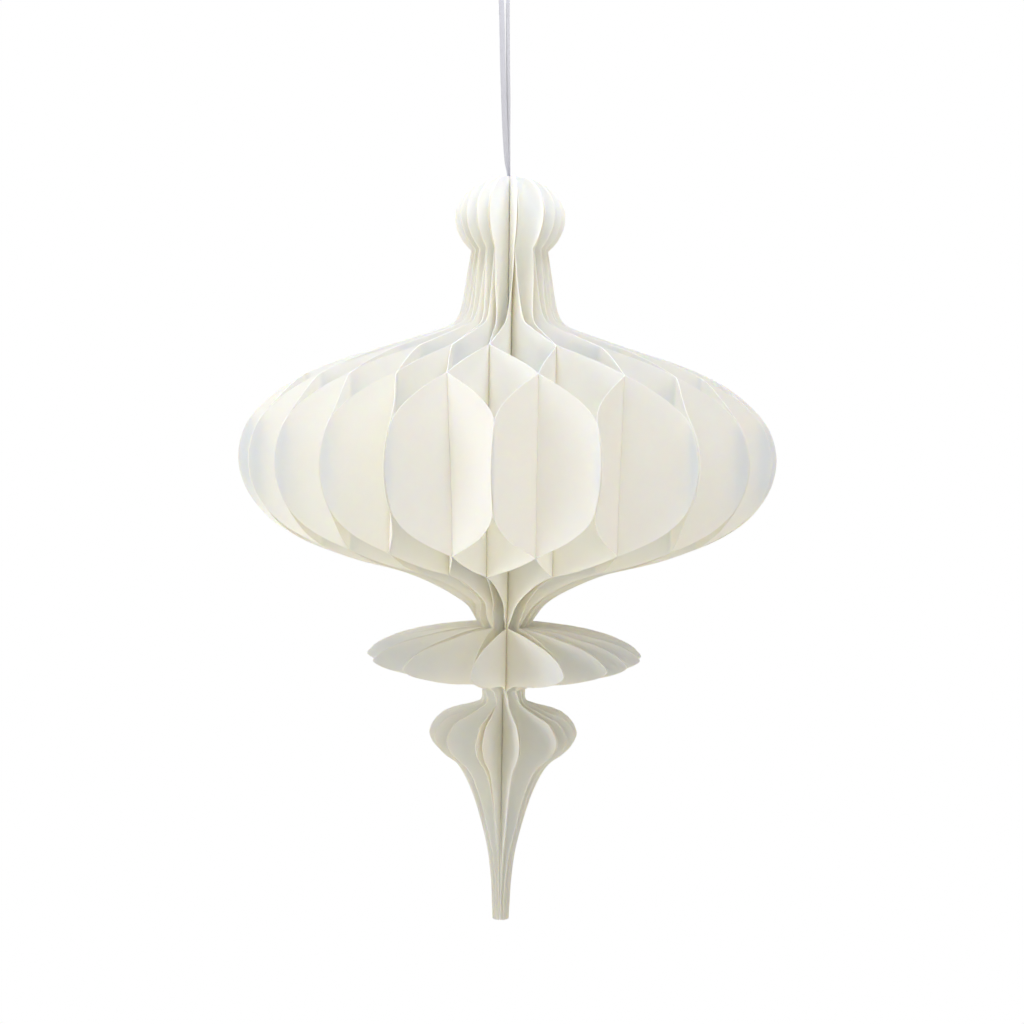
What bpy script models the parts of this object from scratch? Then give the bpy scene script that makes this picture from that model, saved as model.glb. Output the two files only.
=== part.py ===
"""Honeycomb paper ornament: a hanging spire of 24 pairs of card leaves, fanned round a spine.

Every leaf is the same flat cut, with a knob, a neck, a wide bulb, a disc and a pointed finial. The
leaves are glued to their neighbours along upright lines, by turns to the left and to the right, so
that the fan opens into honeycomb cells. The origin is the inside of the ribbon's loop, which holds
the ornament up. Azimuths are counted from the front (-Y), positive to the right (+X).
"""

import math

import bmesh
import bpy
import numpy as np
from mathutils import Vector
from mathutils.geometry import delaunay_2d_cdt

MM = 0.001

# The card and how it is stacked
PAIRS = 24
CARD = 0.2 * MM
GLUE_GAP = 0.2 * MM

# The flat cut of a leaf: how far each part reaches from the spine, in the flat paper
KNOB_REACH = 30.3 * MM
NECK_REACH = 21.2 * MM
SHOULDER_REACH = 26.6 * MM
BULB_REACH = 152.4 * MM
WAIST_REACH = 13.8 * MM
DISC_REACH = 76.7 * MM
FOOT_REACH = 12.1 * MM
FINIAL_REACH = 41.3 * MM
TIP_REACH = 4.6 * MM

# The heights of those parts, from the top down
KNOB_CROWN = 20.5 * MM
KNOB_BASE = 19.9 * MM
NECK_HEIGHT = 31.4 * MM
SHOULDER_HEIGHT = 80.5 * MM
BELLY_HEIGHT = 95.2 * MM
DISC_TOP = 16.0 * MM
DISC_UNDERSIDE = 19.7 * MM
FINIAL_CROWN = 23.3 * MM
FINIAL_TAPER = 108.5 * MM

# Glue lines, as distances from the spine in the flat paper: the leaves of a pair meet at the
# spine and pair lines, and neighbouring pairs meet at the wall lines
SPINE_LINE = 12.0 * MM
INNER_WALL_SPAN = 57.7 * MM
PAIR_SPAN = 43.9 * MM
OUTER_WALL_SPAN = 32.4 * MM

# How the card bends from one glue line to the next: 0 is a straight wall, 1 a round wave
WAVE = 0.8
DISC_WAVE = 0.4

# Heights over which one form's fan gives way to the next one's
BULB_OPENS_OVER = 11.3 * MM
CREASES_SETTLE_ABOVE_WAIST = 46.0 * MM
DISC_FAN_STARTS_ABOVE_WAIST = 17.0 * MM
DISC_FAN_ENDS_ABOVE_WAIST = 4.0 * MM
FINIAL_FAN_STARTS_ABOVE_FOOT = 1.0 * MM
FINIAL_FAN_ENDS_BELOW_FOOT = 6.0 * MM

# Azimuths in degrees, as (steps from the front pair, azimuth). Whole steps are pairs and half
# steps are the walls between them. The fan stands wider open at the front than behind.
KNOB_FAN = ((-4, -62), (-3, -51), (-2, -36), (-1, -22), (0, 7.4), (1, 37), (2, 53), (3, 67))
WALL_FAN = (
    (-4.5, -64), (-3.5, -51), (-2.5, -37.4), (-1.5, -23.3), (-0.5, -2.5),
    (0.5, 18.7), (1.5, 41), (2.5, 56.1), (3.5, 69), (4.5, 81),
)
INNER_WALL_FAN = (
    (-4.5, -67), (-3.5, -54), (-2.5, -40.5), (-1.5, -24), (-0.5, -7.8),
    (0.5, 20.6), (1.5, 43.4), (2.5, 58.8), (3.5, 72), (4.5, 85),
)
UPPER_CREASE_FAN = (
    (-4, -59), (-3, -44.7), (-2, -28.7), (-1, -15.5), (0, 7.8), (1, 31.5), (2, 49.5), (3, 63.4),
)
LOWER_CREASE_FAN = (
    (-4, -57.5), (-3, -44.2), (-2, -30.7), (-1, -13.4), (0, 7.8), (1, 30.2), (2, 48.6), (3, 62.5),
)
DISC_FAN = (
    (-3.5, -88), (-2.5, -68), (-1.5, -44), (-0.5, -12.8),
    (0.5, 24.2), (1.5, 45.3), (2.5, 59.5), (3.5, 77),
)
FINIAL_FAN = (
    (-4, -84), (-3, -66), (-2, -47.5), (-1, -18), (0, 13), (1, 45.5), (2, 57.7), (3, 74),
)
# Degrees that the two leaves of a pair stand apart at a free edge, by steps from the front pair
KNOB_SPREAD = {-1: 1.5, 1: 2.0}
FINIAL_SPREAD = {-3: 1.5, -1: 7.0, 1: 1.5}
USUAL_SPREAD = 0.8
# Degrees that a wall leans to the right of straight out, past its outer glue line
RIM_LEAN = {-0.5: -11.0}

# The ribbon: a flat satin band, from a knot in the spine up to its loop and back
RIBBON_WIDTH = 3.0 * MM
RIBBON_THICKNESS = 0.3 * MM
LOOP_RADIUS = 7.0 * MM
LOOP_ABOVE_KNOB = 120.0 * MM
LOOP_LEFT_OF_SPINE = 5.8 * MM
# Points of the route in millimetres, right of the spine, behind it and above the knob's top,
# with the degrees that the band's face is turned from the front
RIBBON_ROUTE = (
    (-0.9, -0.45, -19.0, 60), (-0.95, -0.45, -9.0, 60), (-1.1, -0.45, 0.0, 55),
    (-2.2, -0.45, 8.0, 35), (-3.2, -0.4, 20.0, 15), (-4.4, -0.3, 42.0, 8), (-5.2, -0.2, 60.0, 6),
    (-6.2, -0.1, 88.0, 10), (-7.0, -0.05, 98.0, 25), (-9.6, 0.0, 105.0, 50), (-12.2, 0.0, 110.5, 75),
)
RIBBON_RETURN = (
    (0.6, 0.0, 110.5, 105), (-1.6, 0.0, 104.5, 125), (-2.85, 0.1, 97.0, 132), (-2.9, 0.15, 88.0, 132),
    (-2.4, 0.25, 60.0, 134), (-1.9, 0.35, 42.0, 134), (-1.6, 0.45, 20.0, 130), (-1.3, 0.5, 8.0, 125),
    (-1.1, 0.45, 0.0, 120), (-0.95, 0.45, -9.0, 120), (-0.9, 0.45, -19.0, 120),
)
KNOT_HEIGHT = 5.0 * MM
SEAT_GAP = 0.3 * MM

# Mesh fineness
OUTLINE_ERROR = 1.2 * MM
SHORTEST_RULING = 3.0 * MM
CURVE_STEPS = 16
SPAN_SHARES = ((0.16, 0.34, 0.64), (0.33, 0.66), (0.33, 0.66))
RIBBON_STEP = 3.8 * MM
LOOP_STEPS = 7

# Worked out from the above
LEAVES = 2 * PAIRS
STEP_DEGREES = 360.0 / PAIRS
LEAF_PITCH = CARD + GLUE_GAP
BORE = LEAVES * LEAF_PITCH / (2 * math.pi)
LINES = np.cumsum([SPINE_LINE, INNER_WALL_SPAN, PAIR_SPAN, OUTER_WALL_SPAN])
TOP = -LOOP_ABOVE_KNOB
AXIS_X = LOOP_LEFT_OF_SPINE
NECK_TOP = TOP - KNOB_CROWN - KNOB_BASE
SHOULDER = NECK_TOP - NECK_HEIGHT
WAIST = SHOULDER - SHOULDER_HEIGHT - BELLY_HEIGHT
FOOT = WAIST - DISC_TOP - DISC_UNDERSIDE
CHANGES = (
    (NECK_TOP, SHOULDER - BULB_OPENS_OVER),
    (SHOULDER - BULB_OPENS_OVER, WAIST + CREASES_SETTLE_ABOVE_WAIST),
    (WAIST + DISC_FAN_STARTS_ABOVE_WAIST, WAIST + DISC_FAN_ENDS_ABOVE_WAIST),
    (FOOT + FINIAL_FAN_STARTS_ABOVE_FOOT, FOOT - FINIAL_FAN_ENDS_BELOW_FOOT),
)

# The parts of the cut between its corners, as shares of the way across and down
CROWN_SHARES = ((0.347, 0.066), (0.644, 0.263), (0.868, 0.566), (0.985, 0.88))
BASE_SHARES = ((0.077, 0.352), (0.473, 0.729))
NECK_SHARES = ((0.48, 0.5),)
SHOULDER_SHARES = (
    (0.031, 0.096), (0.094, 0.143), (0.297, 0.25), (0.591, 0.399), (0.804, 0.56), (0.952, 0.766),
)
BELLY_SHARES = (
    (0.029, 0.193), (0.12, 0.357), (0.272, 0.48), (0.442, 0.575), (0.677, 0.671), (0.833, 0.773),
    (0.934, 0.87),
)
DISC_TOP_SHARES = ((0.25, 0.07), (0.5, 0.23), (0.72, 0.41), (0.9, 0.68))
DISC_UNDERSIDE_SHARES = ((0.06, 0.17), (0.2, 0.343), (0.5, 0.59), (0.85, 0.76))
FINIAL_CROWN_SHARES = ((0.003, 0.214), (0.05, 0.312), (0.206, 0.4), (0.5, 0.53), (0.8, 0.66))
FINIAL_TAPER_SHARES = (
    (0.041, 0.055), (0.185, 0.11), (0.381, 0.161), (0.526, 0.23), (0.668, 0.336), (0.782, 0.456),
    (0.913, 0.641), (0.97, 0.797), (0.995, 0.963),
)


def clear_scene():
    for old in list(bpy.data.objects):
        bpy.data.objects.remove(old, do_unlink=True)


def material(name, colour, roughness):
    made = bpy.data.materials.new(name)
    made.use_nodes = True
    shader = made.node_tree.nodes["Principled BSDF"]
    shader.inputs["Base Color"].default_value = (*colour, 1.0)
    shader.inputs["Roughness"].default_value = roughness
    shader.inputs["Metallic"].default_value = 0.0
    made.diffuse_color = (*colour, 1.0)
    return made


def spline(points, steps):
    """A smooth curve through the points, with the given number of steps to each span."""
    points = np.array(points, float)
    ends = np.vstack([2 * points[0] - points[1], points, 2 * points[-1] - points[-2]])
    curve = [points[0]]
    for a, b, c, d in zip(ends, ends[1:], ends[2:], ends[3:]):
        flow = np.linalg.norm(c[:3] - b[:3])
        start = (c - a) * flow / (np.linalg.norm(c[:3] - b[:3]) + np.linalg.norm(b[:3] - a[:3]))
        stop = (d - b) * flow / (np.linalg.norm(d[:3] - c[:3]) + np.linalg.norm(c[:3] - b[:3]))
        for t in np.arange(1, steps + 1) / steps:
            curve.append(hermite(b, start, c, stop, t))
    return np.array(curve)


def hermite(a, slope_a, b, slope_b, t):
    return (
        (2 * t**3 - 3 * t**2 + 1) * a
        + (t**3 - 2 * t**2 + t) * slope_a
        + (3 * t**2 - 2 * t**3) * b
        + (t**3 - t**2) * slope_b
    )


def stretch(start, end, shares):
    """Points from start to end, at the given shares of the way across and down."""
    across, down = end[0] - start[0], end[1] - start[1]
    return [(start[0] + a * across, start[1] + b * down) for a, b in shares] + [end]


def cut_outline():
    """The leaf's outline in the flat paper, as (distance from the spine, height) from the top of
    the spine round to its bottom."""
    top = (BORE, TOP)
    knob = (KNOB_REACH, TOP - KNOB_CROWN)
    neck = (NECK_REACH, NECK_TOP)
    shoulder = (SHOULDER_REACH, SHOULDER)
    rim = (BULB_REACH, SHOULDER - SHOULDER_HEIGHT)
    waist = (WAIST_REACH, WAIST)
    disc = (DISC_REACH, WAIST - DISC_TOP)
    foot = (FOOT_REACH, FOOT)
    finial = (FINIAL_REACH, FOOT - FINIAL_CROWN)
    tip = (TIP_REACH, FOOT - FINIAL_CROWN - FINIAL_TAPER)
    runs = (
        [top] + stretch(top, knob, CROWN_SHARES) + stretch(knob, neck, BASE_SHARES),
        [neck]
        + stretch(neck, shoulder, NECK_SHARES)
        + stretch(shoulder, rim, SHOULDER_SHARES)
        + stretch(rim, waist, BELLY_SHARES),
        [waist] + stretch(waist, disc, DISC_TOP_SHARES) + stretch(disc, foot, DISC_UNDERSIDE_SHARES),
        [foot]
        + stretch(foot, finial, FINIAL_CROWN_SHARES)
        + stretch(finial, tip, FINIAL_TAPER_SHARES),
    )
    return [spline(run, CURVE_STEPS) for run in runs] + [np.array([tip, (BORE, tip[1])])]


def azimuth(fan, step):
    """The azimuth in radians at a number of steps from the front pair. The fan's own values are
    joined by straight lines, and the back is spread evenly."""
    steps, angles = (list(v) for v in zip(*fan))
    turns = math.floor((step - steps[0]) / PAIRS)
    steps.append(steps[0] + PAIRS)
    angles.append(angles[0] + 360.0)
    return math.radians(float(np.interp(step - turns * PAIRS, steps, angles)) + turns * 360.0)


def place(radius, angle, aside=0.0):
    """A point at a radius and azimuth about the spine, moved aside along the circle."""
    return np.array(
        [
            radius * math.sin(angle) + aside * math.cos(angle),
            -radius * math.cos(angle) + aside * math.sin(angle),
        ]
    )


def outward(angle):
    return np.array([math.sin(angle), -math.cos(angle)])


def next_radius(radius, half_cell, span):
    """The radius that a straight wall of this span reaches across half a cell."""
    sideways = radius * math.sin(half_cell)
    return radius * math.cos(half_cell) + math.sqrt(max(span**2 - sideways**2, 0.0))


def glue_points(pair, side, fans):
    """The plan positions and radial directions of one leaf's glue lines, from the bore outwards.
    fans holds the fan of each line: spine line, inner wall, pair line and outer wall."""
    even = math.radians(STEP_DEGREES * pair)
    held = side * LEAF_PITCH / 2
    points = [(place(BORE, even, held), outward(even))]
    radius = SPINE_LINE
    for line, fan in enumerate(fans):
        at_wall = line % 2 == 1
        step = pair + side / 2 if at_wall else pair
        angle = fan(step)
        if line:
            half_cell = (fan(step + 0.5) - fan(step - 0.5)) / 2
            radius = next_radius(radius, half_cell, LINES[line] - LINES[line - 1])
        points.append((place(radius, angle, -held if at_wall else held), outward(angle)))
    return points


def plan_curve(pair, side, fans, turn=0.0, wave=WAVE):
    """One leaf seen from above: distances from the spine in the flat paper, with the plan
    positions there. Past its last glue line the leaf runs out, turned to the right by turn."""
    points = glue_points(pair, side, fans)
    flats = [BORE, *LINES[: len(fans)]]
    flat, plan = [BORE], [points[0][0]]
    for (a, out_a), (b, out_b), low, high in zip(points, points[1:], flats, flats[1:]):
        pull = wave * np.linalg.norm(b - a)
        for t in np.arange(1, CURVE_STEPS + 1) / CURVE_STEPS:
            flat.append(low + t * (high - low))
            plan.append(hermite(a, out_a * pull, b, out_b * pull, t))
    last, out = points[-1]
    rest = BULB_REACH - flats[-1]
    turned = out + turn * np.array([-out[1], out[0]])
    for t in np.arange(1, CURVE_STEPS + 1) / CURVE_STEPS:
        flat.append(flats[-1] + t * rest)
        ease = min(1.0, t * rest / SPINE_LINE)
        plan.append(last + t * rest * (out + ease * (turned - out)))
    return np.array(flat), np.array(plan)


class Leaf:
    """A bent leaf: turns a point of the flat cut into its place in the ornament."""

    def __init__(self, pair, side):
        near = pair if pair <= PAIRS / 2 else pair - PAIRS

        def fan(table):
            return lambda step: azimuth(table, step)

        def spread(table):
            return side * math.radians(table.get(near, USUAL_SPREAD)) / 2

        knob, inner, wall = fan(KNOB_FAN), fan(INNER_WALL_FAN), fan(WALL_FAN)
        upper, lower = fan(UPPER_CREASE_FAN), fan(LOWER_CREASE_FAN)
        disc, finial = fan(DISC_FAN), fan(FINIAL_FAN)
        lean = math.radians(RIM_LEAN.get(near + side / 2, 0.0))
        self.levels = (
            plan_curve(near, side, (knob,), spread(KNOB_SPREAD)),
            plan_curve(near, side, (knob, inner, upper, wall), lean),
            plan_curve(near, side, (knob, inner, lower, wall), lean),
            plan_curve(near, side, (disc, disc), wave=DISC_WAVE),
            plan_curve(near, side, (finial,), spread(FINIAL_SPREAD)),
        )

    def at(self, flat, height):
        """The plan position at a point of the cut."""
        spot = self.on_level(0, flat)
        for level, (start, stop) in enumerate(CHANGES):
            t = min(1.0, max(0.0, (start - height) / (start - stop)))
            if t > 0.0:
                spot = spot + (self.on_level(level + 1, flat) - spot) * t * t * (3 - 2 * t)
        return spot

    def on_level(self, level, flat):
        distances, plan = self.levels[level]
        return np.array([np.interp(flat, distances, plan[:, k]) for k in range(2)])

    def faces_at(self, flat, height):
        """The two points of the card's faces at a point of the cut."""
        along = self.at(flat + CARD, height) - self.at(max(flat - CARD, BORE), height)
        along /= np.linalg.norm(along)
        off = np.array([-along[1], along[0]]) * CARD / 2
        spot = self.at(flat, height)
        return [Vector((AXIS_X + p[0], p[1], height)) for p in (spot + off, spot - off)]


def thin_out(points, kept, error):
    """The points that a polyline needs to stay within error of all of them. kept are indices
    that stay in any case."""
    points = np.asarray(points)
    keep = sorted({0, len(points) - 1, *kept})
    stack = list(zip(keep, keep[1:]))
    while stack:
        a, b = stack.pop()
        if b - a < 2:
            continue
        chord = points[b] - points[a]
        rest = points[a + 1 : b] - points[a]
        share = np.clip(rest @ chord / max(chord @ chord, 1e-18), 0, 1)
        away = np.linalg.norm(rest - share[:, None] * chord, axis=1)
        far = int(away.argmax())
        if away[far] > error:
            keep.append(a + 1 + far)
            stack += [(a, a + 1 + far), (a + 1 + far, b)]
    return sorted(set(keep))


def rulings():
    """Distances from the spine at which the card is ruled, so that it bends there."""
    stops = [SPINE_LINE]
    for low, high, shares in zip(LINES, LINES[1:], SPAN_SHARES):
        stops += [low + share * (high - low) for share in shares] + [high]
    return stops


def crossings(points, stops):
    """The polyline with a point added wherever it crosses a ruling, and those points' indices
    for each ruling."""
    made, hits = [points[0]], {}
    for a, b in zip(points, points[1:]):
        between = [s for s in stops if (a[0] - s) * (b[0] - s) < 0]
        for s in sorted(between, key=lambda s: abs(s - a[0])):
            t = (s - a[0]) / (b[0] - a[0])
            hits.setdefault(s, []).append(len(made))
            made.append(a + t * (b - a))
        made.append(b)
    return np.array(made), hits


def flat_mesh(error, stops, levels):
    """The flat cut as triangles. Its points lie on its outline, where the rulings meet the
    outline, and where the bore and the spine line cross the given heights, from the top down."""
    runs = cut_outline()
    corners = np.cumsum([len(run) - 1 for run in runs])
    outline = np.vstack([runs[0], *(run[1:] for run in runs[1:])])
    corner_spots = outline[corners]
    outline, hits = crossings(outline, stops)
    kept = [int(np.linalg.norm(outline - c, axis=1).argmin()) for c in corner_spots]
    lines = []
    for found in hits.values():
        found.sort(key=lambda i: -outline[i][1])
        for high, low in zip(found[::2], found[1::2]):
            if outline[high][1] - outline[low][1] > SHORTEST_RULING:
                lines.append((high, low))
    kept += [i for line in lines for i in line]
    chosen = thin_out(outline, kept, error)
    number = {index: k for k, index in enumerate(chosen)}
    points = [Vector(outline[i]) for i in chosen]
    points += [Vector((BORE, z)) for z in reversed(levels)]
    loop = list(range(len(points)))
    edges = []
    for high, low in lines:
        chain = [number[high]]
        if outline[high][0] <= SPINE_LINE:
            for z in levels:
                if outline[low][1] + SHORTEST_RULING < z < outline[high][1] - SHORTEST_RULING:
                    chain.append(len(points))
                    points.append(Vector((outline[high][0], z)))
        chain.append(number[low])
        edges += list(zip(chain, chain[1:]))
    flat, _, triangles, _, _, _ = delaunay_2d_cdt(points, edges, [loop], 1, 1e-7)
    return flat, triangles


def bend_leaf(name, leaf, flat, triangles, paper):
    """One leaf as a closed sheet of card."""
    bm = bmesh.new()
    pairs = [leaf.faces_at(p.x, p.y) for p in flat]
    front = [bm.verts.new(a) for a, _ in pairs]
    back = [bm.verts.new(b) for _, b in pairs]
    uses = {}
    for triangle in triangles:
        a, b, c = triangle
        turn = (flat[b] - flat[a]).cross(flat[c] - flat[a])
        if turn < 0:
            a, c = c, a
        bm.faces.new((front[c], front[b], front[a]))
        bm.faces.new((back[a], back[b], back[c]))
        for i, j in ((a, b), (b, c), (c, a)):
            uses[(i, j)] = uses.get((i, j), 0) + 1
    for i, j in uses:
        if (j, i) not in uses:
            bm.faces.new((front[i], front[j], back[j], back[i]))
    bmesh.ops.recalc_face_normals(bm, faces=bm.faces)
    mesh = bpy.data.meshes.new(name)
    bm.to_mesh(mesh)
    bm.free()
    mesh.shade_smooth()
    mesh.set_sharp_from_angle(angle=math.radians(40))
    mesh.materials.append(paper)
    made = bpy.data.objects.new(name, mesh)
    bpy.context.scene.collection.objects.link(made)
    return made


def add_leaves(paper):
    """The whole fan: a left and a right leaf for each pair, counted from the front."""
    heights = (WAIST + DISC_FAN_STARTS_ABOVE_WAIST, WAIST, FOOT)
    flat, triangles = flat_mesh(OUTLINE_ERROR, rulings(), heights)
    for pair in range(PAIRS):
        for side in (-1, 1):
            number = 2 * pair + (1 if side < 0 else 2)
            bend_leaf(f"leaf_{number:02d}", Leaf(pair, side), flat, triangles, paper)


def ribbon_line():
    """The ribbon's centreline from knot to knot, with the turn of its face, in row units."""
    centre = (-LOOP_LEFT_OF_SPINE / MM, (LOOP_ABOVE_KNOB - LOOP_RADIUS) / MM)
    radius = LOOP_RADIUS / MM + RIBBON_THICKNESS / MM / 2
    bight = [
        (centre[0] - radius * math.cos(a), 0.0, centre[1] + radius * math.sin(a), 90)
        for a in np.linspace(0, math.pi, LOOP_STEPS)
    ]
    route = np.array([*RIBBON_ROUTE, *bight, *RIBBON_RETURN], float)
    curve = spline(route, CURVE_STEPS)
    curve[:, :3] *= MM
    curve[:, 0] += AXIS_X
    curve[:, 2] += TOP
    return curve


def even_steps(curve, step):
    """The curve again, with points about a step apart."""
    gaps = np.linalg.norm(np.diff(curve[:, :3], axis=0), axis=1)
    along = np.concatenate([[0], np.cumsum(gaps)])
    at = np.linspace(0, along[-1], round(along[-1] / step) + 1)
    return np.stack([np.interp(at, along, curve[:, k]) for k in range(curve.shape[1])], axis=1)


def add_ribbon(satin):
    """A flat band along the ribbon's line."""
    line = even_steps(ribbon_line(), RIBBON_STEP)
    ways = np.gradient(line[:, :3], axis=0)
    bm = bmesh.new()
    rings = []
    for spot, way in zip(line, ways):
        way = Vector(way).normalized()
        turn = math.radians(spot[3])
        across = Vector((math.cos(turn), math.sin(turn), 0.0))
        across = (across - way * across.dot(way)).normalized() * RIBBON_WIDTH / 2
        thick = way.cross(across).normalized() * RIBBON_THICKNESS / 2
        corners = (across + thick, thick - across, -across - thick, across - thick)
        rings.append([bm.verts.new(Vector(spot[:3]) + corner) for corner in corners])
    for a, b in zip(rings, rings[1:]):
        for i in range(4):
            bm.faces.new((a[i], a[(i + 1) % 4], b[(i + 1) % 4], b[i]))
    bm.faces.new(rings[0])
    bm.faces.new(rings[-1])
    bmesh.ops.recalc_face_normals(bm, faces=bm.faces)
    mesh = bpy.data.meshes.new("hanging_ribbon")
    bm.to_mesh(mesh)
    bm.free()
    mesh.materials.append(satin)
    made = bpy.data.objects.new("hanging_ribbon", mesh)
    bpy.context.scene.collection.objects.link(made)


def add_knot(satin):
    """The knot that holds the ribbon's two ends in the spine."""
    radius = BORE - SEAT_GAP
    low_end = TOP + RIBBON_ROUTE[0][2] * MM
    bm = bmesh.new()
    bmesh.ops.create_uvsphere(bm, u_segments=12, v_segments=7, radius=1.0)
    bmesh.ops.scale(bm, vec=(radius, radius, KNOT_HEIGHT / 2), verts=bm.verts)
    mesh = bpy.data.meshes.new("ribbon_knot")
    bm.to_mesh(mesh)
    bm.free()
    mesh.shade_smooth()
    mesh.materials.append(satin)
    made = bpy.data.objects.new("ribbon_knot", mesh)
    made.location = (AXIS_X, 0.0, low_end - SEAT_GAP - KNOT_HEIGHT / 2)
    bpy.context.scene.collection.objects.link(made)


def main():
    clear_scene()
    paper = material("cream_card", (0.90, 0.87, 0.78), 0.85)
    satin = material("white_satin", (0.86, 0.86, 0.90), 0.4)
    add_leaves(paper)
    add_ribbon(satin)
    add_knot(satin)


main()
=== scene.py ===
"""The looks of the honeycomb paper ornament: fine card leaves, a satin ribbon and studio light.

The leaves repeat the CAD model's flat cut, glue lines and fans with far more points. Lengths are
in metres, in the frame of the CAD model, and azimuths are counted from the front (-Y), positive to
the right (+X).
"""

import math

import bmesh
import bpy
import numpy as np
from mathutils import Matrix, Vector
from mathutils.geometry import delaunay_2d_cdt


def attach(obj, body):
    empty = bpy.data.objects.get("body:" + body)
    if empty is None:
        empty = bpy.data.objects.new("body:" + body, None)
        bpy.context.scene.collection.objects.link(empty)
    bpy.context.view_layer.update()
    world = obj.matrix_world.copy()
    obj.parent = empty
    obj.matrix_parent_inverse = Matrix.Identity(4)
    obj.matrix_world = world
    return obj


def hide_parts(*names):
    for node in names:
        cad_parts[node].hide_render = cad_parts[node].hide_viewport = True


MM = 0.001

# The card, the flat cut and the glue lines, as in the CAD model
PAIRS = 24
CARD = 0.2 * MM
GLUE_GAP = 0.2 * MM
KNOB_REACH = 30.3 * MM
NECK_REACH = 21.2 * MM
SHOULDER_REACH = 26.6 * MM
BULB_REACH = 152.4 * MM
WAIST_REACH = 13.8 * MM
DISC_REACH = 76.7 * MM
FOOT_REACH = 12.1 * MM
FINIAL_REACH = 41.3 * MM
TIP_REACH = 4.6 * MM
KNOB_CROWN = 20.5 * MM
KNOB_BASE = 19.9 * MM
NECK_HEIGHT = 31.4 * MM
SHOULDER_HEIGHT = 80.5 * MM
BELLY_HEIGHT = 95.2 * MM
DISC_TOP = 16.0 * MM
DISC_UNDERSIDE = 19.7 * MM
FINIAL_CROWN = 23.3 * MM
FINIAL_TAPER = 108.5 * MM
SPINE_LINE = 12.0 * MM
INNER_WALL_SPAN = 57.7 * MM
PAIR_SPAN = 43.9 * MM
OUTER_WALL_SPAN = 32.4 * MM
# How long the card keeps to the way straight out at a glue line, as a share of the line's
# distance from its neighbour
WAVE = 0.8
DISC_WAVE = 0.4
BULB_OPENS_OVER = 11.3 * MM
CREASES_SETTLE_ABOVE_WAIST = 46.0 * MM
DISC_FAN_STARTS_ABOVE_WAIST = 17.0 * MM
DISC_FAN_ENDS_ABOVE_WAIST = 4.0 * MM
FINIAL_FAN_STARTS_ABOVE_FOOT = 1.0 * MM
FINIAL_FAN_ENDS_BELOW_FOOT = 6.0 * MM

# Azimuths in degrees, as (steps from the front pair, azimuth)
KNOB_FAN = ((-4, -62), (-3, -51), (-2, -36), (-1, -22), (0, 7.4), (1, 37), (2, 53), (3, 67))
WALL_FAN = (
    (-4.5, -64), (-3.5, -51), (-2.5, -37.4), (-1.5, -23.3), (-0.5, -2.5),
    (0.5, 18.7), (1.5, 41), (2.5, 56.1), (3.5, 69), (4.5, 81),
)
INNER_WALL_FAN = (
    (-4.5, -67), (-3.5, -54), (-2.5, -40.5), (-1.5, -24), (-0.5, -7.8),
    (0.5, 20.6), (1.5, 43.4), (2.5, 58.8), (3.5, 72), (4.5, 85),
)
UPPER_CREASE_FAN = (
    (-4, -59), (-3, -44.7), (-2, -28.7), (-1, -15.5), (0, 7.8), (1, 31.5), (2, 49.5), (3, 63.4),
)
LOWER_CREASE_FAN = (
    (-4, -57.5), (-3, -44.2), (-2, -30.7), (-1, -13.4), (0, 7.8), (1, 30.2), (2, 48.6), (3, 62.5),
)
DISC_FAN = (
    (-3.5, -88), (-2.5, -68), (-1.5, -44), (-0.5, -12.8),
    (0.5, 24.2), (1.5, 45.3), (2.5, 59.5), (3.5, 77),
)
FINIAL_FAN = (
    (-4, -84), (-3, -66), (-2, -47.5), (-1, -18), (0, 13), (1, 45.5), (2, 57.7), (3, 74),
)
# Degrees that the two leaves of a pair stand apart at a free edge, by steps from the front pair
KNOB_SPREAD = {-1: 1.5, 1: 2.0}
FINIAL_SPREAD = {-3: 1.5, -1: 7.0, 1: 1.5}
USUAL_SPREAD = 0.8
# Degrees that a wall leans to the right of straight out, past its outer glue line
RIM_LEAN = {-0.5: -11.0}

# The ribbon, as in the CAD model
RIBBON_WIDTH = 3.0 * MM
RIBBON_THICKNESS = 0.3 * MM
LOOP_RADIUS = 7.0 * MM
LOOP_ABOVE_KNOB = 120.0 * MM
LOOP_LEFT_OF_SPINE = 5.8 * MM
LOOP_STEPS = 7
# Millimetres to the right of the spine, behind it and above the knob, and the face's turn in degrees
RIBBON_ROUTE = (
    (-0.9, -0.45, -19.0, 60), (-0.95, -0.45, -9.0, 60), (-1.1, -0.45, 0.0, 55),
    (-2.2, -0.45, 8.0, 35), (-3.2, -0.4, 20.0, 15), (-4.4, -0.3, 42.0, 8), (-5.2, -0.2, 60.0, 6),
    (-6.2, -0.1, 88.0, 10), (-7.0, -0.05, 98.0, 25), (-9.6, 0.0, 105.0, 50), (-12.2, 0.0, 110.5, 75),
)
RIBBON_RETURN = (
    (0.6, 0.0, 110.5, 105), (-1.6, 0.0, 104.5, 125), (-2.85, 0.1, 97.0, 132), (-2.9, 0.15, 88.0, 132),
    (-2.4, 0.25, 60.0, 134), (-1.9, 0.35, 42.0, 134), (-1.6, 0.45, 20.0, 130), (-1.3, 0.5, 8.0, 125),
    (-1.1, 0.45, 0.0, 120), (-0.95, 0.45, -9.0, 120), (-0.9, 0.45, -19.0, 120),
)

# What the scene adds to the solids: glue that fills most of the gap, creases that stand open, and
# the ribbon's woven edges, as (share of half the width, share of half the edge's thickness)
GLUE_SWELL = 0.09 * MM
CREASE_WAVE = 0.25
WOVEN_EDGE_THICKNESS = 0.24 * MM
RIBBON_UPPER_FACE = (
    (-1.0, 0.35), (-0.96, 1.0), (-0.85, 1.0), (-0.78, 0.7), (-0.3, 0.62), (0.3, 0.62),
    (0.78, 0.7), (0.85, 1.0), (0.96, 1.0), (1.0, 0.35),
)

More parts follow.
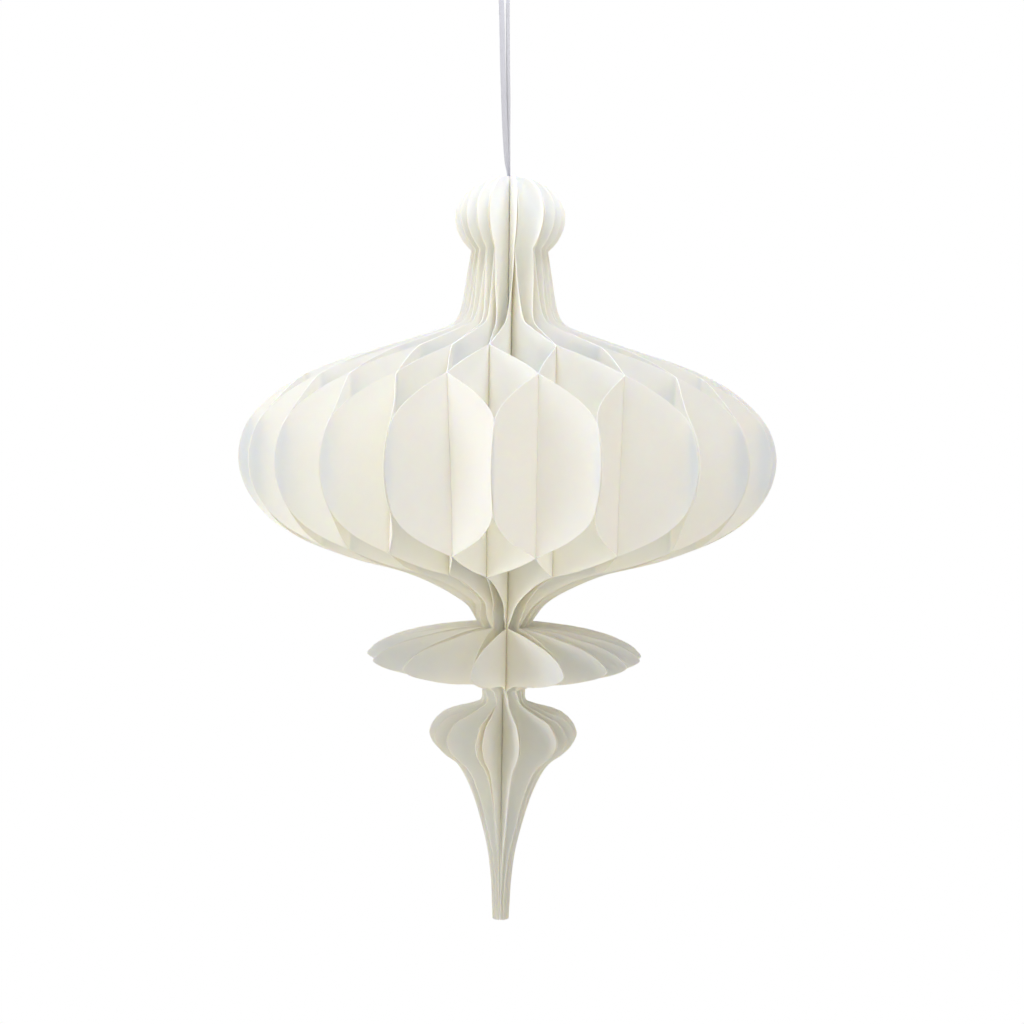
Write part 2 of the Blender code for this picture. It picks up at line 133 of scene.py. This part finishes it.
# Mesh fineness
OUTLINE_ERROR = 0.03 * MM
SPINE_COLUMNS = 4
COLUMN_STEP = 2.4 * MM
RIM_COLUMN_SHARES = (0.35, 0.65, 0.88)
ROW_STEP = 4.5 * MM
ROWS_OF_A_CHANGE = 8
LEAST_ROW_GAP = 0.9 * MM
ROW_CLEARANCE = 0.35 * ROW_STEP
ON_A_LINE = 0.01 * MM
MERGE_DISTANCE = 1e-7
NO_LENGTH = 1e-18
CURVE_STEPS = 24
RIBBON_STEP = 1.2 * MM
SHARP_CARD_ANGLE = 40
SHARP_RIBBON_ANGLE = 50
FLOOR_SEGMENTS = 128

# Colours
CARD_LIGHT = (0.96, 0.945, 0.88)
CARD_DARK = (0.945, 0.93, 0.86)
CUT_EDGE_LIGHT = (0.96, 0.95, 0.88)
CUT_EDGE_DARK = (0.94, 0.93, 0.85)
SATIN_LIGHT = (0.595, 0.60, 0.63)
SATIN_DARK = (0.465, 0.47, 0.495)
FLOOR_LIGHT = (0.92, 0.91, 0.88)
FLOOR_DARK = (0.90, 0.89, 0.86)

# Camera and stage
IMAGE_PIXELS = 1024
FOCAL_PIXELS = 1500.0
SENSOR_WIDTH = 36.0
CLIP_START = 0.01
CLIP_END = 100.0
CAMERA_RIGHT_OF_SPINE = 2.4 * MM
CAMERA_DISTANCE = 833.0 * MM
CAMERA_BELOW_KNOB_TOP = 123.5 * MM
CAMERA_PITCH = -4.156
CAMERA_ROLL = -0.815
FLOOR_BELOW_TIP = 0.45
FLOOR_RADIUS = 0.8
# The studio's colour by the sine of the elevation, on the left and on the right. The sideways part
# of a direction blends the two, and its part away from the front blends in the backdrop.
UNLIT = (0.0, 0.0, 0.0)
LOW_GLOW = (0.76, 0.69, 0.53)
STUDIO_LEFT = (
    (-1.0, UNLIT), (-0.5, LOW_GLOW), (-0.15, (0.97, 0.92, 0.83)), (0.2, (0.68, 0.65, 0.59)),
    (0.6, UNLIT),
)
STUDIO_RIGHT = (
    (-1.0, UNLIT), (-0.5, LOW_GLOW), (-0.15, (1.41, 1.36, 1.24)), (0.2, (0.54, 0.50, 0.41)),
    (0.6, UNLIT),
)
LEFT_TO_RIGHT = (-0.6, 0.6)
ROOM_TO_BACKDROP = (0.80, 0.86)
BACKDROP = (1.0, 1.0, 1.0)
MAX_BOUNCES = 16
DIFFUSE_BOUNCES = 12
# Square softboxes: name, place, height on the spine that it faces, side in metres, watts, colour
MIDDLE = -0.192
LOW = -0.28
SOFTBOXES = (
    ("top softbox", (-0.144, 0.1, 0.8), MIDDLE, 1.5, 7.2, (0.80, 0.87, 1.0)),
    ("overhead softbox", (0.006, -0.1, 0.33), MIDDLE, 0.6, 5.3, (0.80, 0.84, 1.0)),
    ("right softbox", (0.5, -0.7, 0.15), MIDDLE, 0.5, 0.7, (0.93, 0.86, 1.0)),
    ("left fill", (-0.8, -0.5, -0.25), LOW, 0.5, 2.5, (0.98, 0.98, 1.0)),
)

# Worked out from the above
LEAVES = 2 * PAIRS
STEP_DEGREES = 360.0 / PAIRS
LEAF_PITCH = CARD + GLUE_GAP
BORE = LEAVES * LEAF_PITCH / (2 * math.pi)
LINES = np.cumsum([SPINE_LINE, INNER_WALL_SPAN, PAIR_SPAN, OUTER_WALL_SPAN])
TOP = -LOOP_ABOVE_KNOB
AXIS_X = LOOP_LEFT_OF_SPINE
NECK_TOP = TOP - KNOB_CROWN - KNOB_BASE
SHOULDER = NECK_TOP - NECK_HEIGHT
WAIST = SHOULDER - SHOULDER_HEIGHT - BELLY_HEIGHT
FOOT = WAIST - DISC_TOP - DISC_UNDERSIDE
TIP = FOOT - FINIAL_CROWN - FINIAL_TAPER
# The heights between which each fan gives way to the next, from the knob down
CHANGES = (
    (NECK_TOP, SHOULDER - BULB_OPENS_OVER),
    (SHOULDER - BULB_OPENS_OVER, WAIST + CREASES_SETTLE_ABOVE_WAIST),
    (WAIST + DISC_FAN_STARTS_ABOVE_WAIST, WAIST + DISC_FAN_ENDS_ABOVE_WAIST),
    (FOOT + FINIAL_FAN_STARTS_ABOVE_FOOT, FOOT - FINIAL_FAN_ENDS_BELOW_FOOT),
)

# The parts of the cut between its corners, as shares of the way across and down
CROWN_SHARES = ((0.347, 0.066), (0.644, 0.263), (0.868, 0.566), (0.985, 0.88))
BASE_SHARES = ((0.077, 0.352), (0.473, 0.729))
NECK_SHARES = ((0.48, 0.5),)
SHOULDER_SHARES = (
    (0.031, 0.096), (0.094, 0.143), (0.297, 0.25), (0.591, 0.399), (0.804, 0.56), (0.952, 0.766),
)
BELLY_SHARES = (
    (0.029, 0.193), (0.12, 0.357), (0.272, 0.48), (0.442, 0.575), (0.677, 0.671), (0.833, 0.773),
    (0.934, 0.87),
)
DISC_TOP_SHARES = ((0.25, 0.07), (0.5, 0.23), (0.72, 0.41), (0.9, 0.68))
DISC_UNDERSIDE_SHARES = ((0.06, 0.17), (0.2, 0.343), (0.5, 0.59), (0.85, 0.76))
FINIAL_CROWN_SHARES = ((0.003, 0.214), (0.05, 0.312), (0.206, 0.4), (0.5, 0.53), (0.8, 0.66))
FINIAL_TAPER_SHARES = (
    (0.041, 0.055), (0.185, 0.11), (0.381, 0.161), (0.526, 0.23), (0.668, 0.336), (0.782, 0.456),
    (0.913, 0.641), (0.97, 0.797), (0.995, 0.963),
)


# Materials

def new_material(name):
    """A material with its nodes, links and main shader."""
    made = bpy.data.materials.new(name)
    made.use_nodes = True
    nodes = made.node_tree.nodes
    return made, nodes, made.node_tree.links, nodes["Principled BSDF"]


def noise(nodes, links, source, scale, detail, roughness=0.55):
    """Noise on the source's coordinates, from 0 to 1."""
    node = nodes.new("ShaderNodeTexNoise")
    node.inputs["Scale"].default_value = scale
    node.inputs["Detail"].default_value = detail
    node.inputs["Roughness"].default_value = roughness
    links.new(source, node.inputs["Vector"])
    return node.outputs["Fac"]


def ramp(nodes, links, source, stops):
    """The source's value turned into a colour by stops of (value, colour)."""
    node = nodes.new("ShaderNodeValToRGB")
    while len(node.color_ramp.elements) < len(stops):
        node.color_ramp.elements.new(0.5)
    for element, (position, colour) in zip(node.color_ramp.elements, stops):
        element.position = position
        element.color = (*colour, 1.0)
    links.new(source, node.inputs["Fac"])
    return node.outputs["Color"]


def bump(nodes, links, shader, height, strength, distance):
    """Fine relief on the shader, by a height from 0 to 1."""
    node = nodes.new("ShaderNodeBump")
    node.inputs["Strength"].default_value = strength
    node.inputs["Distance"].default_value = distance
    links.new(height, node.inputs["Height"])
    links.new(node.outputs["Normal"], shader.inputs["Normal"])


def card_material(name, light, dark):
    """Uncoated card: matt, with a faint mottle and the fine tooth of its fibres."""
    made, nodes, links, shader = new_material(name)
    where = nodes.new("ShaderNodeTexCoord").outputs["Object"]
    mottle = noise(nodes, links, where, scale=60.0, detail=3.0)
    colour = ramp(nodes, links, mottle, ((0.3, dark), (0.7, light)))
    links.new(colour, shader.inputs["Base Color"])
    tooth = noise(nodes, links, where, scale=1400.0, detail=6.0, roughness=0.7)
    bump(nodes, links, shader, tooth, strength=0.25, distance=0.05 * MM)
    shader.inputs["Roughness"].default_value = 0.9
    shader.inputs["Specular IOR Level"].default_value = 0.25
    shader.inputs["Subsurface Weight"].default_value = 0.6
    shader.inputs["Subsurface Radius"].default_value = (1.0, 0.7, 0.3)
    shader.inputs["Subsurface Scale"].default_value = 0.8 * MM
    return made


def satin_material(name):
    """White satin: threads along the band and a soft sheen."""
    made, nodes, links, shader = new_material(name)
    uv = nodes.new("ShaderNodeUVMap").outputs["UV"]
    threads = nodes.new("ShaderNodeTexWave")
    threads.bands_direction = "X"
    threads.inputs["Scale"].default_value = 9.0
    threads.inputs["Distortion"].default_value = 0.4
    links.new(uv, threads.inputs["Vector"])
    height = threads.outputs["Fac"]
    colour = ramp(nodes, links, height, ((0.0, SATIN_DARK), (1.0, SATIN_LIGHT)))
    links.new(colour, shader.inputs["Base Color"])
    bump(nodes, links, shader, height, strength=0.35, distance=0.05 * MM)
    shader.inputs["Roughness"].default_value = 0.42
    shader.inputs["Anisotropic"].default_value = 0.4
    shader.inputs["Sheen Weight"].default_value = 0.3
    return made


# Leaves

def spline(points):
    """A smooth curve through the points. Values past a point's third ride along with its place."""
    points = np.array(points, float)
    ends = np.vstack([2 * points[0] - points[1], points, 2 * points[-1] - points[-2]])
    curve = [points[0]]
    for a, b, c, d in zip(ends, ends[1:], ends[2:], ends[3:]):
        before, flow, after = (np.linalg.norm(q[:3] - p[:3]) for p, q in ((a, b), (b, c), (c, d)))
        start = (c - a) * flow / (flow + before)
        stop = (d - b) * flow / (after + flow)
        for t in np.arange(1, CURVE_STEPS + 1) / CURVE_STEPS:
            curve.append(hermite(b, start, c, stop, t))
    return np.array(curve)


def hermite(a, slope_a, b, slope_b, t):
    """The point at share t of the cubic from a to b with these slopes at its ends."""
    return (
        (2 * t**3 - 3 * t**2 + 1) * a
        + (t**3 - 2 * t**2 + t) * slope_a
        + (3 * t**2 - 2 * t**3) * b
        + (t**3 - t**2) * slope_b
    )


def stretch(start, end, shares):
    """The points at the shares of the way from start to end, and end itself."""
    across, down = end[0] - start[0], end[1] - start[1]
    return [(start[0] + a * across, start[1] + b * down) for a, b in shares] + [end]


def cut_outline():
    """The leaf's outline in the flat card, as runs of (distance from the spine, height)."""
    top = (BORE, TOP)
    knob = (KNOB_REACH, TOP - KNOB_CROWN)
    neck = (NECK_REACH, NECK_TOP)
    shoulder = (SHOULDER_REACH, SHOULDER)
    rim = (BULB_REACH, SHOULDER - SHOULDER_HEIGHT)
    waist = (WAIST_REACH, WAIST)
    disc = (DISC_REACH, WAIST - DISC_TOP)
    foot = (FOOT_REACH, FOOT)
    finial = (FINIAL_REACH, FOOT - FINIAL_CROWN)
    tip = (TIP_REACH, TIP)
    runs = (
        [top] + stretch(top, knob, CROWN_SHARES) + stretch(knob, neck, BASE_SHARES),
        [neck]
        + stretch(neck, shoulder, NECK_SHARES)
        + stretch(shoulder, rim, SHOULDER_SHARES)
        + stretch(rim, waist, BELLY_SHARES),
        [waist] + stretch(waist, disc, DISC_TOP_SHARES) + stretch(disc, foot, DISC_UNDERSIDE_SHARES),
        [foot]
        + stretch(foot, finial, FINIAL_CROWN_SHARES)
        + stretch(finial, tip, FINIAL_TAPER_SHARES),
    )
    return [spline(run) for run in runs] + [np.array([tip, (BORE, TIP)])]


def azimuth(fan, step):
    """The fan's azimuth in radians, at any number of steps from the front pair."""
    steps, angles = (list(v) for v in zip(*fan))
    turns = math.floor((step - steps[0]) / PAIRS)
    steps.append(steps[0] + PAIRS)
    angles.append(angles[0] + 360.0)
    return math.radians(float(np.interp(step - turns * PAIRS, steps, angles)) + turns * 360.0)


def place(radius, angle, aside):
    """The plan position at an azimuth, moved aside to its right."""
    return np.array(
        [
            radius * math.sin(angle) + aside * math.cos(angle),
            -radius * math.cos(angle) + aside * math.sin(angle),
        ]
    )


def outward(angle):
    """The way straight out at an azimuth."""
    return np.array([math.sin(angle), -math.cos(angle)])


def next_radius(radius, half_cell, span):
    """The radius of a glue line that the card reaches across half a cell from the one before."""
    sideways = radius * math.sin(half_cell)
    return radius * math.cos(half_cell) + math.sqrt(max(span**2 - sideways**2, 0.0))


def glue_points(pair, side, fans):
    """One leaf's inner edge and glue lines in plan, each with the way straight out there."""
    even = math.radians(STEP_DEGREES * pair)
    held = side * LEAF_PITCH / 2
    points = [(place(BORE, even, held), outward(even))]
    radius = SPINE_LINE
    for line, fan in enumerate(fans):
        at_wall = line % 2 == 1
        step = pair + side / 2 if at_wall else pair
        angle = fan(step)
        if line:
            half_cell = (fan(step + 0.5) - fan(step - 0.5)) / 2
            radius = next_radius(radius, half_cell, LINES[line] - LINES[line - 1])
        points.append((place(radius, angle, -held if at_wall else held), outward(angle)))
    return points


def plan_curve(pair, side, fans, turn=0.0, wave=WAVE):
    """One leaf seen from above: distances in the flat card and the plan positions there."""
    points = glue_points(pair, side, fans)
    flats = [BORE, *LINES[: len(fans)]]
    flat, plan = [BORE], [points[0][0]]
    shares = np.arange(CURVE_STEPS + 1) / CURVE_STEPS
    for k, ((a, out_a), (b, out_b)) in enumerate(zip(points, points[1:])):
        chord = np.linalg.norm(b - a)
        # Past the spine line, the card meets every glue line but the outermost at an open angle
        pull_a, pull_b = (
            chord * (min(wave, CREASE_WAVE) if k and end < len(fans) else wave)
            for end in (k, k + 1)
        )
        run = np.array([hermite(a, out_a * pull_a, b, out_b * pull_b, t) for t in shares])
        along = np.cumsum(np.linalg.norm(np.diff(run, axis=0), axis=1))
        flat += list(flats[k] + (flats[k + 1] - flats[k]) * along / along[-1])
        plan += list(run[1:])
    # Past its last glue line the card runs straight on, eased round to its own turn
    last, out = points[-1]
    rest = BULB_REACH - flats[-1]
    turned = out + turn * np.array([-out[1], out[0]])
    for t in shares[1:]:
        flat.append(flats[-1] + t * rest)
        ease = min(1.0, t * rest / SPINE_LINE)
        plan.append(last + t * rest * (out + ease * (turned - out)))
    return np.array(flat), np.array(plan)


def leaf_levels(pair, side):
    """One leaf's plan curves: in the knob, the upper bulb, the lower bulb, the disc, the finial."""
    near = pair if pair <= PAIRS / 2 else pair - PAIRS

    def fan(table):
        return lambda step: azimuth(table, step)

    def spread(table):
        return side * math.radians(table.get(near, USUAL_SPREAD)) / 2

    knob, inner, wall = fan(KNOB_FAN), fan(INNER_WALL_FAN), fan(WALL_FAN)
    upper, lower = fan(UPPER_CREASE_FAN), fan(LOWER_CREASE_FAN)
    disc, finial = fan(DISC_FAN), fan(FINIAL_FAN)
    lean = math.radians(RIM_LEAN.get(near + side / 2, 0.0))
    return (
        plan_curve(near, side, (knob,), spread(KNOB_SPREAD)),
        plan_curve(near, side, (knob, inner, upper, wall), lean),
        plan_curve(near, side, (knob, inner, lower, wall), lean),
        plan_curve(near, side, (disc, disc), wave=DISC_WAVE),
        plan_curve(near, side, (finial,), spread(FINIAL_SPREAD)),
    )


def bend(levels, flat, height):
    """Plan positions for arrays of points of the flat cut."""

    def on(level):
        distances, plan = level
        return np.stack([np.interp(flat, distances, plan[:, k]) for k in range(2)], axis=1)

    spots = on(levels[0])
    for level, (start, stop) in zip(levels[1:], CHANGES):
        t = np.clip((start - height) / (start - stop), 0.0, 1.0)
        share = (t * t * (3 - 2 * t))[:, None]
        spots = spots + (on(level) - spots) * share
    return spots


def columns():
    """Distances from the spine at which the fine mesh has its columns."""
    spine = range(1, SPINE_COLUMNS + 1)
    stops = [BORE + k * (SPINE_LINE - BORE) / SPINE_COLUMNS for k in spine]
    for low, high in zip(LINES, LINES[1:]):
        count = round((high - low) / COLUMN_STEP)
        stops += [low + k * (high - low) / count for k in range(1, count + 1)]
    return stops + [LINES[-1] + k * (BULB_REACH - LINES[-1]) for k in RIM_COLUMN_SHARES]


def row_heights():
    """Heights of the fine mesh's rows, closer together where the disc and the finial begin."""
    rows = list(np.arange(TOP - ROW_STEP, TIP, -ROW_STEP))
    for change in CHANGES[2:]:
        rows += list(np.linspace(*change, ROWS_OF_A_CHANGE))
    rows.sort(reverse=True)
    kept = [rows[0]]
    for z in rows:
        if kept[-1] - z > LEAST_ROW_GAP:
            kept.append(z)
    return kept


def crossings(points, stops):
    """The polyline with a point added wherever it crosses a stop, and their indices by stop."""
    made, hits = [points[0]], {}
    for a, b in zip(points, points[1:]):
        between = [s for s in stops if (a[0] - s) * (b[0] - s) < 0]
        for s in sorted(between, key=lambda s: abs(s - a[0])):
            t = (s - a[0]) / (b[0] - a[0])
            hits.setdefault(s, []).append(len(made))
            made.append(a + t * (b - a))
        made.append(b)
    return np.array(made), hits


def thin_out(points, kept):
    """Indices of the kept points, and of those needed to stay within the error of the rest."""
    keep = sorted({0, len(points) - 1, *kept})
    stack = list(zip(keep, keep[1:]))
    while stack:
        a, b = stack.pop()
        if b - a < 2:
            continue
        chord = points[b] - points[a]
        rest = points[a + 1 : b] - points[a]
        share = np.clip(rest @ chord / max(chord @ chord, NO_LENGTH), 0, 1)
        away = np.linalg.norm(rest - share[:, None] * chord, axis=1)
        far = int(away.argmax())
        if away[far] > OUTLINE_ERROR:
            keep.append(a + 1 + far)
            stack += [(a, a + 1 + far), (a + 1 + far, b)]
    return sorted(set(keep))


def flat_mesh():
    """The flat cut as a fine triangle mesh on columns and rows."""
    runs = cut_outline()
    corners = np.cumsum([len(run) - 1 for run in runs])
    outline = np.vstack([runs[0], *(run[1:] for run in runs[1:])])
    corner_spots = outline[corners]
    outline, hits = crossings(outline, columns())
    kept = [int(np.linalg.norm(outline - c, axis=1).argmin()) for c in corner_spots]
    kept += [i for found in hits.values() for i in found]
    chosen = thin_out(outline, kept)
    number = {index: k for k, index in enumerate(chosen)}
    points = [Vector(outline[i]) for i in chosen]
    rows = row_heights()
    points += [Vector((BORE, z)) for z in reversed(rows)]
    loop = list(range(len(points)))
    edges = []
    for s, found in hits.items():
        found.sort(key=lambda i: -outline[i][1])
        for high, low in zip(found[::2], found[1::2]):
            chain = [number[high]]
            for z in rows:
                if outline[low][1] + ROW_CLEARANCE < z < outline[high][1] - ROW_CLEARANCE:
                    chain.append(len(points))
                    points.append(Vector((s, z)))
            chain.append(number[low])
            edges += list(zip(chain, chain[1:]))
    flat, _, triangles, _, _, _ = delaunay_2d_cdt(points, edges, [loop], 1, MERGE_DISTANCE)
    return np.array([tuple(p) for p in flat]), [tuple(t) for t in triangles]


def glue_swell(distances, side):
    """How much glue thickens a leaf's right and left faces, at its lines of glue."""
    right, left = np.zeros(len(distances)), np.zeros(len(distances))
    for line, stop in enumerate(LINES):
        face = right if (side > 0) == (line % 2 == 1) else left
        face[np.abs(distances - stop) < ON_A_LINE] = GLUE_SWELL
    return right, left


def leaf_mesh(name, side, levels, flat, triangles, rim):
    """The bent leaf as a closed sheet of card: its faces first, then its cut edge."""
    s, z = flat[:, 0], flat[:, 1]
    spots = bend(levels, s, z)
    along = bend(levels, s + CARD, z) - bend(levels, np.maximum(s - CARD, BORE), z)
    along /= np.linalg.norm(along, axis=1)[:, None]
    across = np.stack([-along[:, 1], along[:, 0]], axis=1)
    right, left = (CARD / 2 + swell for swell in glue_swell(s, side))
    both = []
    for off in (right, -left):
        plan = spots + across * off[:, None]
        both.append(np.column_stack([plan[:, 0] + AXIS_X, plan[:, 1], z]))
    count = len(flat)
    faces = [(c, b, a) for a, b, c in triangles]
    faces += [(a + count, b + count, c + count) for a, b, c in triangles]
    walls = [(i, j, j + count, i + count) for i, j in rim]
    mesh = bpy.data.meshes.new(name)
    mesh.from_pydata(np.vstack(both).tolist(), [], faces + walls)
    mesh.polygons.foreach_set("material_index", [0] * len(faces) + [1] * len(walls))
    mesh.shade_smooth()
    mesh.set_sharp_from_angle(angle=math.radians(SHARP_CARD_ANGLE))
    mesh.update()
    return mesh


def open_edges(flat, triangles):
    """The triangles turned the same way round, and the edges that only one of them has, sorted."""
    turned = []
    uses = set()
    for a, b, c in triangles:
        ab, ac = flat[b] - flat[a], flat[c] - flat[a]
        if ab[0] * ac[1] - ab[1] * ac[0] < 0:
            b, c = c, b
        turned.append((a, b, c))
        uses |= {(a, b), (b, c), (c, a)}
    return turned, sorted((i, j) for i, j in uses if (j, i) not in uses)


def link(name, mesh, materials, nodes):
    """The mesh as a piece of the ornament, in place of the CAD model's nodes."""
    for item in materials:
        mesh.materials.append(item)
    made = bpy.data.objects.new(name, mesh)
    bpy.context.scene.collection.objects.link(made)
    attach(made, "root")
    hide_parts(*nodes)
    return made


def add_leaves():
    """Every leaf, bent from the one flat cut."""
    card = card_material("cream card", CARD_LIGHT, CARD_DARK)
    edge = card_material("cut card edge", CUT_EDGE_LIGHT, CUT_EDGE_DARK)
    flat, triangles = flat_mesh()
    triangles, rim = open_edges(flat, triangles)
    for pair in range(PAIRS):
        for side in (-1, 1):
            number = 2 * pair + (1 if side < 0 else 2)
            mesh = leaf_mesh(
                f"card_leaf_{number:02d}", side, leaf_levels(pair, side), flat, triangles, rim
            )
            link(mesh.name, mesh, (card, edge), [f"leaf_{number:02d}"])


# Ribbon

def ribbon_line():
    """The ribbon's centreline from the knot round to the knot again, with its face's turn."""
    centre = (-LOOP_LEFT_OF_SPINE / MM, (LOOP_ABOVE_KNOB - LOOP_RADIUS) / MM)
    radius = LOOP_RADIUS / MM + RIBBON_THICKNESS / MM / 2
    bight = [
        (centre[0] - radius * math.cos(a), 0.0, centre[1] + radius * math.sin(a), 90)
        for a in np.linspace(0, math.pi, LOOP_STEPS)
    ]
    curve = spline([*RIBBON_ROUTE, *bight, *RIBBON_RETURN])
    curve[:, :3] *= MM
    curve[:, 0] += AXIS_X
    curve[:, 2] += TOP
    return curve


def even_steps(curve, step):
    """The curve at even steps, and the distances along it there."""
    gaps = np.linalg.norm(np.diff(curve[:, :3], axis=0), axis=1)
    along = np.concatenate([[0], np.cumsum(gaps)])
    at = np.linspace(0, along[-1], round(along[-1] / step) + 1)
    return np.stack([np.interp(at, along, curve[:, k]) for k in range(curve.shape[1])], axis=1), at


def mesh_of(bm, name):
    """The mesh of a finished bmesh."""
    mesh = bpy.data.meshes.new(name)
    bm.to_mesh(mesh)
    bm.free()
    return mesh


def ribbon_mesh(name, line, at):
    """A flat woven band with thicker edges along the line, with its threads' coordinates."""
    ways = np.gradient(line[:, :3], axis=0)
    half, thick = RIBBON_WIDTH / 2, WOVEN_EDGE_THICKNESS / 2
    section = RIBBON_UPPER_FACE + tuple((u, -v) for u, v in reversed(RIBBON_UPPER_FACE))
    bm = bmesh.new()
    uv_layer = bm.loops.layers.uv.new("UVMap")
    rings = []
    for spot, way in zip(line, ways):
        way = Vector(way).normalized()
        turn = math.radians(spot[3])
        across = Vector((math.cos(turn), math.sin(turn), 0.0))
        across = (across - way * across.dot(way)).normalized()
        face = way.cross(across).normalized()
        ring = [
            bm.verts.new(Vector(spot[:3]) + across * (u * half) + face * (v * thick))
            for u, v in section
        ]
        rings.append(ring)
    count = len(section)
    for k, (a, b) in enumerate(zip(rings, rings[1:])):
        for i in range(count):
            j = (i + 1) % count
            face = bm.faces.new((a[i], a[j], b[j], b[i]))
            us = (section[i][0], section[j][0], section[j][0], section[i][0])
            vs = (at[k], at[k], at[k + 1], at[k + 1])
            for corner, u, v in zip(face.loops, us, vs):
                corner[uv_layer].uv = (u * half / RIBBON_WIDTH + 0.5, v / RIBBON_WIDTH)
    bm.faces.new(rings[0])
    bm.faces.new(rings[-1])
    bmesh.ops.recalc_face_normals(bm, faces=bm.faces)
    mesh = mesh_of(bm, name)
    mesh.shade_smooth()
    mesh.set_sharp_from_angle(angle=math.radians(SHARP_RIBBON_ANGLE))
    return mesh


def add_ribbon(satin):
    """The ribbon from the knot up through the loop and back, as one taut cord."""
    line, at = even_steps(ribbon_line(), RIBBON_STEP)
    mesh = ribbon_mesh("satin_ribbon", line, at)
    ribbon = link("satin_ribbon", mesh, (satin,), ["hanging_ribbon"])


# Camera, stage and light

def add_camera():
    """The photograph's view: just right of the spine, looking slightly down."""
    data = bpy.data.cameras.new("camera")
    data.sensor_width = SENSOR_WIDTH
    data.lens = SENSOR_WIDTH * FOCAL_PIXELS / IMAGE_PIXELS
    data.clip_start = CLIP_START
    data.clip_end = CLIP_END
    camera = bpy.data.objects.new("camera", data)
    camera.location = (
        AXIS_X + CAMERA_RIGHT_OF_SPINE, -CAMERA_DISTANCE, TOP - CAMERA_BELOW_KNOB_TOP
    )
    camera.rotation_euler = (math.radians(90 + CAMERA_PITCH), math.radians(CAMERA_ROLL), 0.0)
    bpy.context.scene.collection.objects.link(camera)
    bpy.context.scene.camera = camera


def add_floor():
    """A pale round floor, well below the ornament and under the lower edge of the view."""
    made, nodes, links, shader = new_material("pale floor")
    where = nodes.new("ShaderNodeTexCoord").outputs["Object"]
    grain = noise(nodes, links, where, scale=40.0, detail=4.0)
    colour = ramp(nodes, links, grain, ((0.3, FLOOR_DARK), (0.7, FLOOR_LIGHT)))
    links.new(colour, shader.inputs["Base Color"])
    shader.inputs["Roughness"].default_value = 0.9
    bm = bmesh.new()
    bmesh.ops.create_circle(bm, cap_ends=True, segments=FLOOR_SEGMENTS, radius=FLOOR_RADIUS)
    bmesh.ops.translate(bm, vec=(AXIS_X, 0.0, TIP - FLOOR_BELOW_TIP), verts=bm.verts)
    mesh = mesh_of(bm, "floor")
    mesh.materials.append(made)
    floor = bpy.data.objects.new("floor", mesh)
    bpy.context.scene.collection.objects.link(floor)


def add_softbox(name, spot, faces, side, power, colour):
    """A square light that faces a height on the spine and stays out of the camera's sight."""
    data = bpy.data.lights.new(name, "AREA")
    data.shape = "SQUARE"
    data.size = side
    data.energy = power
    data.color = colour
    aim = (AXIS_X, 0.0, faces)
    light = bpy.data.objects.new(name, data)
    light.location = spot
    light.rotation_euler = (Vector(aim) - Vector(spot)).to_track_quat("-Z", "Y").to_euler()
    light.visible_camera = False
    bpy.context.scene.collection.objects.link(light)


def map_range(nodes, links, source, low, high, smooth=False):
    """The source's value from low to high as a share from 0 to 1."""
    node = nodes.new("ShaderNodeMapRange")
    node.inputs["From Min"].default_value = low
    node.inputs["From Max"].default_value = high
    if smooth:
        node.interpolation_type = "SMOOTHSTEP"
    links.new(source, node.inputs["Value"])
    return node.outputs["Result"]


def mix_colours(nodes, links, share, first, second):
    """The first colour giving way to the second, which is a plain colour or another node's."""
    node = nodes.new("ShaderNodeMix")
    node.data_type = "RGBA"
    links.new(share, node.inputs["Factor"])
    links.new(first, node.inputs["A"])
    if isinstance(second, tuple):
        node.inputs["B"].default_value = (*second, 1.0)
    else:
        links.new(second, node.inputs["B"])
    return node.outputs["Result"]


def add_light():
    """Softboxes above and in front, a room that glows about its horizon and a white backdrop."""
    world = bpy.data.worlds.new("studio")
    world.use_nodes = True
    nodes, links = world.node_tree.nodes, world.node_tree.links
    where = nodes.new("ShaderNodeSeparateXYZ")
    links.new(nodes.new("ShaderNodeTexCoord").outputs["Generated"], where.inputs["Vector"])
    up = map_range(nodes, links, where.outputs["Z"], -1.0, 1.0)
    left, right = (
        ramp(nodes, links, up, [((height + 1) / 2, colour) for height, colour in studio])
        for studio in (STUDIO_LEFT, STUDIO_RIGHT)
    )
    side = map_range(nodes, links, where.outputs["X"], *LEFT_TO_RIGHT, smooth=True)
    room = mix_colours(nodes, links, side, left, right)
    behind = map_range(nodes, links, where.outputs["Y"], *ROOM_TO_BACKDROP, smooth=True)
    tone = mix_colours(nodes, links, behind, room, BACKDROP)
    links.new(tone, nodes["Background"].inputs["Color"])
    bpy.context.scene.world = world
    bpy.context.scene.cycles.max_bounces = MAX_BOUNCES
    bpy.context.scene.cycles.diffuse_bounces = DIFFUSE_BOUNCES
    for softbox in SOFTBOXES:
        add_softbox(*softbox)
    settings = bpy.context.scene.view_settings
    settings.view_transform = "Standard"
    settings.look = "None"


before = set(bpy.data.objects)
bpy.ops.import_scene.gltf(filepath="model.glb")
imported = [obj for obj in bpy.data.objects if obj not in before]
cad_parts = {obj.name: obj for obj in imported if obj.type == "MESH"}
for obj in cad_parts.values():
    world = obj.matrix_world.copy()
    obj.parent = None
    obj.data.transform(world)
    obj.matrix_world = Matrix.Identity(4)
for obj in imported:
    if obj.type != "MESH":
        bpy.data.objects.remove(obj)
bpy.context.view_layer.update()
add_camera()
satin = satin_material("white satin")
add_ribbon(satin)
knot = bpy.data.objects["ribbon_knot"]
for slot in knot.material_slots:
    slot.material = satin
add_leaves()
add_floor()
add_light()
